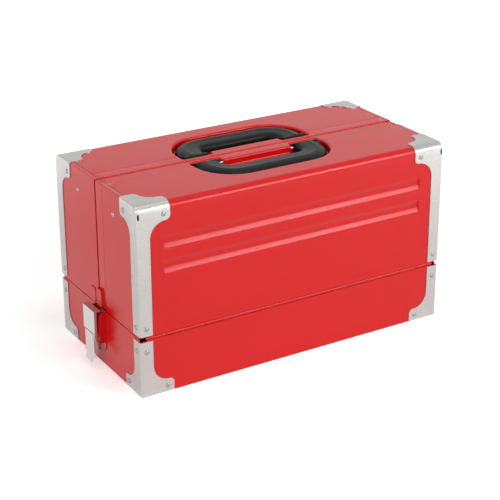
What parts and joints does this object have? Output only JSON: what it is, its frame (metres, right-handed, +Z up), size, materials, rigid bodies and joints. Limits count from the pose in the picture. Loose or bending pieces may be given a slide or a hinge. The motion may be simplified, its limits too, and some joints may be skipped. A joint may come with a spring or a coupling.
{
  "type": "cantilever tool box",
  "caption": "Long red sheet-steel tool box with steel corner plates; its lid splits along the middle and each half draws stepped trays out on link bars.",
  "frame": {"origin": "middle of the base's underside", "axes": "+X along the case to its right-hand end, -Y towards the front, +Z up"},
  "size_m": [0.4678, 0.223, 0.24],
  "materials": {
    "red_paint": "semi-gloss red enamel on pressed sheet steel",
    "corner_steel": "satin zinc-plated steel",
    "rivet_steel": "bright plated steel",
    "link_steel": "zinc-plated steel strip",
    "latch_steel": "zinc-plated pressed steel",
    "keeper_paint": "orange-red enamel",
    "handle_plastic": "dark grey moulded plastic"
  },
  "bodies": {
    "base": {"base_shell": "red_paint", "link_plate_left": "red_paint", "link_plate_right": "red_paint", "link_base_pins": "rivet_steel", "front_hinge_base_leaf": "red_paint", "rear_hinge_base_leaf": "red_paint", "front_hinge_pin": "rivet_steel", "rear_hinge_pin": "rivet_steel", "base_corner_front_left": "corner_steel", "base_corner_front_right": "corner_steel", "base_corner_rear_left": "corner_steel", "base_corner_rear_right": "corner_steel", "base_corner_rivets": "rivet_steel", "latch_bracket_left": "red_paint", "latch_bracket_right": "red_paint", "latch_pivot_pins": "rivet_steel"},
    "front_lid": {"front_lid_skin": "red_paint", "front_lid_end_left": "red_paint", "front_lid_end_right": "red_paint", "front_hinge_lid_leaf": "red_paint", "lid_corner_front_left": "corner_steel", "lid_corner_front_right": "corner_steel", "front_lid_rivets": "rivet_steel", "front_lid_studs": "rivet_steel", "front_handle_pins": "rivet_steel", "front_lid_keepers": "keeper_paint", "front_keeper_pads": "keeper_paint"},
    "rear_lid": {"rear_lid_skin": "red_paint", "rear_lid_end_left": "red_paint", "rear_lid_end_right": "red_paint", "rear_hinge_lid_leaf": "red_paint", "lid_corner_rear_left": "corner_steel", "lid_corner_rear_right": "corner_steel", "rear_lid_rivets": "rivet_steel", "rear_lid_studs": "rivet_steel", "rear_handle_pins": "rivet_steel", "rear_lid_keepers": "keeper_paint"},
    "front_outer_links": {"front_outer_links": "link_steel"},
    "front_inner_links": {"front_inner_links": "link_steel"},
    "front_mid_tray": {"front_mid_tray": "red_paint", "front_mid_tray_rivets": "rivet_steel"},
    "front_top_tray": {"front_top_tray": "red_paint", "front_top_tray_rivets": "rivet_steel"},
    "front_handle": {"front_handle": "handle_plastic"},
    "rear_outer_links": {"rear_outer_links": "link_steel"},
    "rear_inner_links": {"rear_inner_links": "link_steel"},
    "rear_mid_tray": {"rear_mid_tray": "red_paint", "rear_mid_tray_rivets": "rivet_steel"},
    "rear_top_tray": {"rear_top_tray": "red_paint", "rear_top_tray_rivets": "rivet_steel"},
    "rear_handle": {"rear_handle": "handle_plastic"},
    "latch_lever_left": {"latch_lever_left": "latch_steel"},
    "latch_hook_left": {"latch_hook_left": "latch_steel", "latch_hook_pins_left": "rivet_steel"},
    "latch_lever_right": {"latch_lever_right": "latch_steel"},
    "latch_hook_right": {"latch_hook_right": "latch_steel", "latch_hook_pins_right": "rivet_steel"}
  },
  "joints": [
    {"name": "front_lid_hinge", "type": "hinge", "parent": "base", "child": "front_lid", "pos_m": [0, -0.1075, 0.075], "axis": [1, 0, 0], "range_deg": [0, 100]},
    {"name": "front_outer_link_foot", "type": "hinge", "parent": "base", "child": "front_outer_links", "pos_m": [0, -0.092, 0.06], "axis": [1, 0, 0], "range_deg": [0, 50]},
    {"name": "front_inner_link_foot", "type": "hinge", "parent": "base", "child": "front_inner_links", "pos_m": [0, -0.0735, 0.06], "axis": [1, 0, 0], "range_deg": [0, 50]},
    {"name": "front_mid_tray_pivot", "type": "hinge", "parent": "front_outer_links", "child": "front_mid_tray", "pos_m": [0, -0.059, 0.13], "axis": [1, 0, 0], "range_deg": [-50, 0]},
    {"name": "front_top_tray_pivot", "type": "hinge", "parent": "front_outer_links", "child": "front_top_tray", "pos_m": [0, -0.026, 0.2], "axis": [1, 0, 0], "range_deg": [-50, 0]},
    {"name": "front_handle_pivot", "type": "hinge", "parent": "front_lid", "child": "front_handle", "pos_m": [0, -0.014, 0.234], "axis": [-1, 0, 0], "range_deg": [0, 94]},
    {"name": "rear_lid_hinge", "type": "hinge", "parent": "base", "child": "rear_lid", "pos_m": [0, 0.1075, 0.075], "axis": [-1, 0, 0], "range_deg": [0, 100]},
    {"name": "rear_outer_link_foot", "type": "hinge", "parent": "base", "child": "rear_outer_links", "pos_m": [0, 0.092, 0.06], "axis": [-1, 0, 0], "range_deg": [0, 50]},
    {"name": "rear_inner_link_foot", "type": "hinge", "parent": "base", "child": "rear_inner_links", "pos_m": [0, 0.0735, 0.06], "axis": [-1, 0, 0], "range_deg": [0, 50]},
    {"name": "rear_mid_tray_pivot", "type": "hinge", "parent": "rear_outer_links", "child": "rear_mid_tray", "pos_m": [0, 0.059, 0.13], "axis": [-1, 0, 0], "range_deg": [-50, 0]},
    {"name": "rear_top_tray_pivot", "type": "hinge", "parent": "rear_outer_links", "child": "rear_top_tray", "pos_m": [0, 0.026, 0.2], "axis": [-1, 0, 0], "range_deg": [-50, 0]},
    {"name": "rear_handle_pivot", "type": "hinge", "parent": "rear_lid", "child": "rear_handle", "pos_m": [0, 0.014, 0.234], "axis": [1, 0, 0], "range_deg": [0, 94]},
    {"name": "latch_lever_left_pivot", "type": "hinge", "parent": "base", "child": "latch_lever_left", "pos_m": [-0.224, 0, 0.04], "axis": [0, 1, 0], "range_deg": [0, 85]},
    {"name": "latch_hook_left_pivot", "type": "hinge", "parent": "latch_lever_left", "child": "latch_hook_left", "pos_m": [-0.2245, 0, 0.027], "axis": [0, 1, 0], "range_deg": [-85, 0]},
    {"name": "latch_lever_right_pivot", "type": "hinge", "parent": "base", "child": "latch_lever_right", "pos_m": [0.224, 0, 0.04], "axis": [0, -1, 0], "range_deg": [0, 85]},
    {"name": "latch_hook_right_pivot", "type": "hinge", "parent": "latch_lever_right", "child": "latch_hook_right", "pos_m": [0.2245, 0, 0.027], "axis": [0, -1, 0], "range_deg": [-85, 0]}
  ],
  "couplings": [
    {"joint": "front_outer_link_foot", "follows": "front_lid_hinge", "ratio": 0.5},
    {"joint": "front_inner_link_foot", "follows": "front_lid_hinge", "ratio": 0.5},
    {"joint": "front_mid_tray_pivot", "follows": "front_lid_hinge", "ratio": -0.5},
    {"joint": "front_top_tray_pivot", "follows": "front_lid_hinge", "ratio": -0.5},
    {"joint": "rear_outer_link_foot", "follows": "rear_lid_hinge", "ratio": 0.5},
    {"joint": "rear_inner_link_foot", "follows": "rear_lid_hinge", "ratio": 0.5},
    {"joint": "rear_mid_tray_pivot", "follows": "rear_lid_hinge", "ratio": -0.5},
    {"joint": "rear_top_tray_pivot", "follows": "rear_lid_hinge", "ratio": -0.5},
    {"joint": "latch_hook_left_pivot", "follows": "latch_lever_left_pivot", "ratio": -1},
    {"joint": "latch_hook_right_pivot", "follows": "latch_lever_right_pivot", "ratio": -1}
  ]
}
